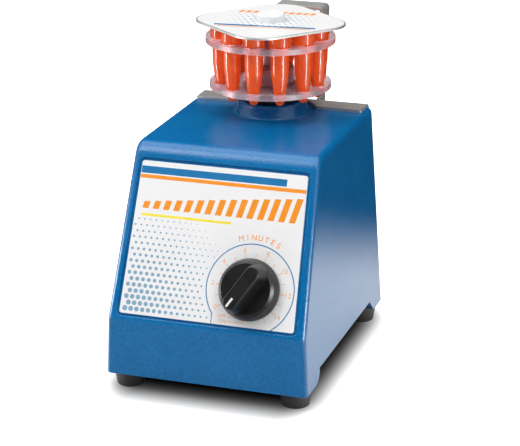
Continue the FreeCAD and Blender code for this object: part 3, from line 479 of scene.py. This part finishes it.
# Copies as real geometry in the given ink
def inkCopies(tree, copies, given, out):
    whole = addNode(tree, "GeometryNodeRealizeInstances", {0: copies.outputs[0]})
    inked = addNode(tree, "GeometryNodeSetMaterial", {
        "Geometry": whole.outputs[0], "Material": given["Material"],
    })
    tree.links.new(inked.outputs[0], out.inputs[0])


# Ticks spread evenly along an arc about the origin
def buildTickRing():
    tree, given, out = newGroup("tickRing", "GeometryNodeTree", [
        ("Count", "NodeSocketInt", 16),
        ("Radius", "NodeSocketFloat", 0.02),
        ("Start", "NodeSocketFloat", 0.0),
        ("Step", "NodeSocketFloat", 0.3),
        ("Length", "NodeSocketFloat", 0.002),
        ("Width", "NodeSocketFloat", 0.0003),
        ("Thickness", "NodeSocketFloat", 0.00004),
        ("Material", "NodeSocketMaterial", None),
    ], [("Geometry", "NodeSocketGeometry")])
    line = addNode(tree, "GeometryNodeMeshLine", {"Count": given["Count"]})
    index = addNode(tree, "GeometryNodeInputIndex").outputs[0]
    angle = mathNode(tree, "ADD", given["Start"], mathNode(tree, "MULTIPLY", given["Step"], index))
    spot = addNode(tree, "ShaderNodeCombineXYZ", {
        0: mathNode(tree, "MULTIPLY", given["Radius"], mathNode(tree, "COSINE", angle)),
        1: mathNode(tree, "MULTIPLY", given["Radius"], mathNode(tree, "SINE", angle)),
        2: mathNode(tree, "MULTIPLY", given["Thickness"], 0.5),
    })
    placed = addNode(tree, "GeometryNodeSetPosition", {
        "Geometry": line.outputs[0], "Position": spot.outputs[0],
    })
    size = addNode(tree, "ShaderNodeCombineXYZ", {
        0: given["Length"], 1: given["Width"], 2: given["Thickness"],
    })
    tick = addNode(tree, "GeometryNodeMeshCube", {"Size": size.outputs[0]})
    turn = addNode(tree, "ShaderNodeCombineXYZ", {2: angle})
    copies = addNode(tree, "GeometryNodeInstanceOnPoints", {
        "Points": placed.outputs[0], "Instance": tick.outputs[0], "Rotation": turn.outputs[0],
    })
    inkCopies(tree, copies, given, out)
    return tree


# The smallest dot that is drawn, as a share of the largest, and the corners of each
smallestDot = 0.16
dotCorners = 18


# Staggered dots that shrink away from a focus and keep clear of a round area
def buildDotField():
    tree, given, out = newGroup("dotField", "GeometryNodeTree", [
        ("Width", "NodeSocketFloat", 0.05),
        ("Height", "NodeSocketFloat", 0.05),
        ("Pitch", "NodeSocketFloat", 0.004),
        ("Middle", "NodeSocketVector", (0, 0, 0)),
        ("Focus", "NodeSocketVector", (0, 0, 0)),
        ("Fade", "NodeSocketFloat", 0.06),
        ("Clear Spot", "NodeSocketVector", (0, 0, 0)),
        ("Clear Radius", "NodeSocketFloat", 0.0),
        ("Dot Radius", "NodeSocketFloat", 0.001),
        ("Thickness", "NodeSocketFloat", 0.00004),
        ("Material", "NodeSocketMaterial", None),
    ], [("Geometry", "NodeSocketGeometry")])
    pitch = given["Pitch"]
    columns, rows = (
        mathNode(tree, "ADD", mathNode(tree, "FLOOR", mathNode(tree, "DIVIDE", given[side], pitch)), 1.0)
        for side in ("Width", "Height")
    )
    grid = addNode(tree, "GeometryNodeMeshGrid", {
        "Size X": given["Width"], "Size Y": given["Height"], "Vertices X": columns, "Vertices Y": rows,
    })
    index = addNode(tree, "GeometryNodeInputIndex").outputs[0]
    odd = mathNode(tree, "MODULO", mathNode(tree, "FLOOR", mathNode(tree, "MODULO", index, rows)), 2.0)
    halfStep = mathNode(tree, "MULTIPLY", mathNode(tree, "MULTIPLY", odd, pitch), 0.5)
    shift = addNode(tree, "ShaderNodeCombineXYZ", {0: halfStep})
    moved = vectorMath(tree, "ADD", shift.outputs[0], given["Middle"])
    placed = addNode(tree, "GeometryNodeSetPosition", {"Geometry": grid.outputs[0], "Offset": moved})
    spot = addNode(tree, "GeometryNodeInputPosition").outputs[0]
    away = vectorMath(tree, "DISTANCE", spot, given["Focus"], "Value")
    size = mathNode(tree, "SUBTRACT", 1.0, mathNode(tree, "DIVIDE", away, given["Fade"]))
    apart = vectorMath(tree, "DISTANCE", spot, given["Clear Spot"], "Value")
    clear = mathNode(tree, "GREATER_THAN", apart, given["Clear Radius"])
    shown = mathNode(tree, "MULTIPLY", clear, mathNode(tree, "GREATER_THAN", size, smallestDot))
    dot = addNode(tree, "GeometryNodeMeshCylinder", {
        "Vertices": dotCorners, "Radius": given["Dot Radius"], "Depth": given["Thickness"],
    })
    flat = addNode(tree, "ShaderNodeCombineXYZ", {0: size, 1: size, 2: 1.0})
    copies = addNode(tree, "GeometryNodeInstanceOnPoints", {
        "Points": placed.outputs[0], "Selection": shown, "Instance": dot.outputs[0], "Scale": flat.outputs[0],
    })
    inkCopies(tree, copies, given, out)
    return tree


tickRing = buildTickRing()
dotField = buildDotField()
drawDialLine()
drawDialScale()
drawDialWord()
growPiece("dial_ticks", tickRing, {
    "Count": dial["minutes"] + 1, "Radius": dial["tickRadius"], "Start": minuteAngle(0),
    "Step": math.radians(dial["minuteStep"]), "Length": dial["tickLength"], "Width": dial["tickWidth"],
    "Thickness": dial["thickness"], "Material": peachInk,
}, panelPlace, "housing")
print("dial: line, words and ticks")

# Plain bands and a generic pattern on the rest of the plate
plateArt = {
    "thickness": 0.03 * mm, "lowHalf": 52.5 * mm, "highHalf": 49.8 * mm,
    "bandLow": 60.2 * mm, "bandHigh": 64.3 * mm, "bandRight": 14.0 * mm,
    "lineLow": 57.3 * mm, "lineHigh": 59.4 * mm, "sideMargin": 0.2 * mm,
    "bars": 15, "barPitch": 6.3 * mm, "barWidth": 3.7 * mm, "barLean": 0.25, "barLow": 40.0 * mm,
    "barStart": 4.0 * mm, "barGrowth": 0.72 * mm, "barLeft": -70.5 * mm,
    "stripe": (-70.5 * mm, -16.0 * mm, 35.6 * mm, 37.0 * mm),
    "dotMargin": 3 * mm, "dotClear": 2.5 * mm,
    "dots": {"Width": 0.064, "Height": 0.052, "Pitch": 0.0034, "Dot Radius": 0.00155, "Fade": 0.078},
}


# The plate's left and right edges at a height, because it narrows upward
def plateEdge(height):
    share = (height - plateLow) / (plateHigh - plateLow)
    lowHalf, highHalf = plateArt["lowHalf"], plateArt["highHalf"]
    middle = (plateLeft + plateRight) / 2
    half = lowHalf + (highHalf - lowHalf) * share - plateArt["sideMargin"]
    return middle - half, middle + half


def drawPlateBands():
    thickness = plateArt["thickness"]
    band = bmesh.new()
    low, high, right = plateArt["bandLow"], plateArt["bandHigh"], plateArt["bandRight"]
    addPrism(band, [
        (plateEdge(low)[0], low), (right, low), (right, high), (plateEdge(high)[0], high),
    ], thickness)
    addPrint("plate_band", band, blueInk, panelPlace, "housing")
    bars = bmesh.new()
    low, high = plateArt["lineLow"], plateArt["lineHigh"]
    (lowLeft, lowRight), (highLeft, highRight) = plateEdge(low), plateEdge(high)
    addPrism(bars, [(lowLeft, low), (lowRight, low), (highRight, high), (highLeft, high)], thickness)
    for i in range(plateArt["bars"]):
        left = plateArt["barLeft"] + i * plateArt["barPitch"]
        right = left + plateArt["barWidth"]
        low = plateArt["barLow"]
        high = low + plateArt["barStart"] + i * plateArt["barGrowth"]
        addPrism(bars, leaningBar(left, right, low, high, plateArt["barLean"]), thickness)
    addPrint("plate_bars", bars, orangeInk, panelPlace, "housing")
    stripe = bmesh.new()
    addPrism(stripe, bar(*plateArt["stripe"]), thickness)
    addPrint("plate_stripe", stripe, yellowInk, panelPlace, "housing")


def drawPlateDots():
    dots = plateArt["dots"]
    left = plateEdge(plateLow)[0] + plateArt["dotMargin"]
    low = plateLow + plateArt["dotMargin"]
    growPiece("plate_dots", dotField, {
        **dots,
        "Middle": (left + dots["Width"] / 2, low + dots["Height"] / 2, plateArt["thickness"] / 2),
        "Focus": (left, low, 0), "Clear Radius": dial["lineRadius"] + plateArt["dotClear"],
        "Thickness": plateArt["thickness"], "Material": paleInk,
    }, panelPlace, "housing")


drawPlateBands()
drawPlateDots()
print("faceplate: bands, bars and dots")

# The lid's label, in the lid's own place
lidArt = {
    "thickness": 0.03 * mm, "turn": 6,
    "band": (-31 * mm, 30 * mm, -16.8 * mm, -13.8 * mm),
    "line": (-28 * mm, 28 * mm, -19.4 * mm, -18.0 * mm),
    "bars": 11, "barPitch": 4.4 * mm, "barWidth": 2.8 * mm, "barLean": 0.3,
    "barLow": 18 * mm, "barHigh": 23 * mm,
    "dots": {"Width": 0.056, "Height": 0.028, "Pitch": 0.0036, "Dot Radius": 0.0014, "Fade": 0.036,
             "Middle": (0, 0.001, 0), "Focus": (0, 0.001, 0), "Clear Radius": 0.0095},
}
lidLow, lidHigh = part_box("lid_label")
lidPlace = Matrix.Translation(((lidLow.x + lidHigh.x) / 2, (lidLow.y + lidHigh.y) / 2, lidHigh.z))
lidPlace = lidPlace @ Matrix.Rotation(math.radians(lidArt["turn"]), 4, "Z")


def drawLidPrint():
    thickness = lidArt["thickness"]
    band = bmesh.new()
    addPrism(band, bar(*lidArt["band"]), thickness)
    addPrint("lid_band", band, blueInk, lidPlace, "lid")
    bars = bmesh.new()
    addPrism(bars, bar(*lidArt["line"]), thickness)
    low, high = lidArt["barLow"], lidArt["barHigh"]
    for i in range(lidArt["bars"]):
        left = (i - lidArt["bars"] / 2) * lidArt["barPitch"]
        right = left + lidArt["barWidth"]
        addPrism(bars, leaningBar(left, right, low, high, lidArt["barLean"]), thickness)
    addPrint("lid_bars", bars, orangeInk, lidPlace, "lid")
    growPiece("lid_dots", dotField, {
        **lidArt["dots"], "Thickness": thickness, "Material": paleInk,
    }, lidPlace, "lid")


drawLidPrint()
print("lid: band, bars and dots")

# Camera at the photograph's view
view = {
    "place": (0.359406, -1.083163, 0.472903), "turn": 0.316523, "tilt": 0.331961,
    "focalPixels": 2010.42, "frameWidth": 520, "sensor": 36.0,
}
cameraData = bpy.data.cameras.new("camera")
cameraData.sensor_width = view["sensor"]
cameraData.lens = view["focalPixels"] * view["sensor"] / view["frameWidth"]
camera = bpy.data.objects.new("camera", cameraData)
camera.location = view["place"]
camera.rotation_euler = (math.pi / 2 - view["tilt"], 0, view["turn"])
bpy.context.scene.collection.objects.link(camera)
bpy.context.scene.camera = camera
bpy.context.scene.view_settings.view_transform = "Standard"

# Soft lamps, with two slim ones that only gloss shows, all turned to one spot
lampAim = Vector((0, 0.03, 0.1))
lamps = {
    "leftLamp": {"place": (-0.75, -0.75, 1.25), "size": (0.6, 0.8), "power": 9.5},
    "rightLamp": {"place": (0.7, -0.75, 1.25), "size": (0.5, 0.8), "power": 6.0},
    "topLamp": {"place": (-0.1, 0.2, 1.3), "size": (1.4, 1.8), "power": 13.8},
    "leftStrip": {"place": (-0.27, -0.13, 0.07), "size": (0.04, 0.14), "power": 0.6, "glossOnly": True},
    "rightStrip": {"place": (0.27, -0.13, 0.07), "size": (0.04, 0.14), "power": 0.6, "glossOnly": True},
}
for name, lamp in lamps.items():
    data = bpy.data.lights.new(name, "AREA")
    data.shape = "RECTANGLE"
    data.size, data.size_y = lamp["size"]
    data.energy = lamp["power"]
    holder = bpy.data.objects.new(name, data)
    holder.location = lamp["place"]
    aim = lampAim - Vector(lamp["place"])
    holder.rotation_euler = aim.to_track_quat("-Z", "Y").to_euler()
    holder.visible_camera = False
    if lamp.get("glossOnly"):
        holder.visible_diffuse = False
        holder.visible_transmission = False
    bpy.context.scene.collection.objects.link(holder)

# White surround for what the camera, gloss and glass see, and a low fill for the rest
surround = {"fill": 0.22, "white": 1.0}


def seenDirectly(tree):
    path = addNode(tree, "ShaderNodeLightPath").outputs
    shiny = mathNode(tree, "MAXIMUM", path["Is Glossy Ray"], path["Is Transmission Ray"])
    return mathNode(tree, "MAXIMUM", path["Is Camera Ray"], shiny)


world = bpy.data.worlds.new("surround")
world.use_nodes = True
bpy.context.scene.world = world
air = world.node_tree
strength = addNode(air, "ShaderNodeMapRange", {
    "Value": seenDirectly(air), "To Min": surround["fill"], "To Max": surround["white"],
})
air.links.new(strength.outputs[0], air.nodes["Background"].inputs["Strength"])
air.nodes["Background"].inputs["Color"].default_value = (1, 1, 1, 1)


def addSheet(name, corners):
    shape = bmesh.new()
    shape.faces.new([shape.verts.new(corner) for corner in corners])
    mesh = bpy.data.meshes.new(name)
    shape.to_mesh(mesh)
    shape.free()
    sheet = bpy.data.objects.new(name, mesh)
    bpy.context.scene.collection.objects.link(sheet)
    return sheet


# A sheet of the stage has no gloss, and a white glow whose strength it sets by itself
def makeSheetFinish(name, dark, light, rough, toneSize):
    return makeFinish(name, {
        "dark": dark, "light": light, "rough": rough, "grain": 0.002, "toneSize": toneSize, "bump": 0.0,
        "shader": {"Specular IOR Level": 0.0, "Emission Color": (1, 1, 1, 1)},
    })


# Floor: painted shadow about the part's footprint, dark in colour and in glow, which deepens the real shadow
# there, and white further out
ground = {
    "half": 3.0, "shade": (14, 14, 15), "tone": (240, 240, 240), "rough": (0.9, 0.9), "toneSize": 0.2,
    "middle": (0.0, -0.005, 0.0), "footprint": (0.0435, 0.056, 0.0), "stretch": (1.0, 0.53, 1.0),
    "clear": 0.03, "glow": 0.9,
}


def makeFloor():
    half = ground["half"]
    floor = addSheet("floor", [(-half, -half, 0), (half, -half, 0), (half, half, 0), (-half, half, 0)])
    tone = ground["tone"]
    material = makeSheetFinish("paleFloor", tone, tone, ground["rough"], ground["toneSize"])
    tree = material.node_tree
    shader = tree.nodes["Principled BSDF"]
    origin = (0, 0, 0)
    spot = addNode(tree, "ShaderNodeTexCoord").outputs["Object"]
    spot = vectorMath(tree, "SUBTRACT", spot, ground["middle"])
    beside = vectorMath(tree, "SUBTRACT", vectorMath(tree, "ABSOLUTE", spot, origin), ground["footprint"])
    beside = vectorMath(tree, "MULTIPLY", vectorMath(tree, "MAXIMUM", beside, origin), ground["stretch"])
    away = vectorMath(tree, "DISTANCE", beside, origin, "Value")
    ramp = addNode(tree, "ShaderNodeMapRange", {
        "Value": away, "From Max": ground["clear"],
    }, interpolation_type="SMOOTHSTEP").outputs[0]
    # Painted contact shadow: the colour darkens and the glow fades towards the footprint
    pale = mathNode(tree, "MULTIPLY", ramp, ramp)
    tint = mixColour(tree, pale, colour(ground["shade"]), colour(tone))
    tree.links.new(tint, shader.inputs["Base Color"])
    glow = mathNode(tree, "MULTIPLY", pale, ground["glow"])
    glow = mathNode(tree, "MULTIPLY", seenDirectly(tree), glow)
    tree.links.new(glow, shader.inputs["Emission Strength"])
    floor.data.materials.append(material)


# Studio cards behind, in front and on the floor, which only gloss shows: their glow fades out over a height
cardFinish = {"dark": (34, 34, 36), "light": (40, 40, 42), "rough": (0.9, 0.95), "toneSize": 0.1}
cards = {
    "rearCard": {
        "corners": [(-0.9, 0.125, 0), (1.1, 0.125, 0), (1.1, 0.125, 0.45), (-0.9, 0.125, 0.45)],
        "glow": 1.7, "height": 0.055,
    },
    "frontCard": {
        "corners": [(2.0, -1.7, 0), (-2.0, -1.7, 0), (-2.0, -1.7, 2.0), (2.0, -1.7, 2.0)],
        "glow": 0.0, "height": 0.1,
    },
    "floorCard": {
        "corners": [(-0.7, -1.3, 0.002), (0.3, -1.3, 0.002), (0.3, -0.095, 0.002), (-0.7, -0.095, 0.002)],
        "glow": 0.35, "height": 0.1,
    },
}


def makeCards():
    for name, look in cards.items():
        material = makeSheetFinish(name, **cardFinish)
        tree = material.node_tree
        place = addNode(tree, "ShaderNodeTexCoord").outputs["Object"]
        spot = addNode(tree, "ShaderNodeSeparateXYZ", {"Vector": place})
        fade = addNode(tree, "ShaderNodeMapRange", {
            "Value": spot.outputs["Z"], "From Max": look["height"], "To Min": look["glow"], "To Max": 0.0,
        }, interpolation_type="SMOOTHSTEP")
        tree.links.new(fade.outputs[0], tree.nodes["Principled BSDF"].inputs["Emission Strength"])
        card = addSheet(name, look["corners"])
        card.data.materials.append(material)
        card.visible_camera = False
        card.visible_diffuse = False
        card.visible_transmission = False
        card.visible_shadow = False


makeFloor()
makeCards()
print("stage: camera, lamps, surround, floor and cards")
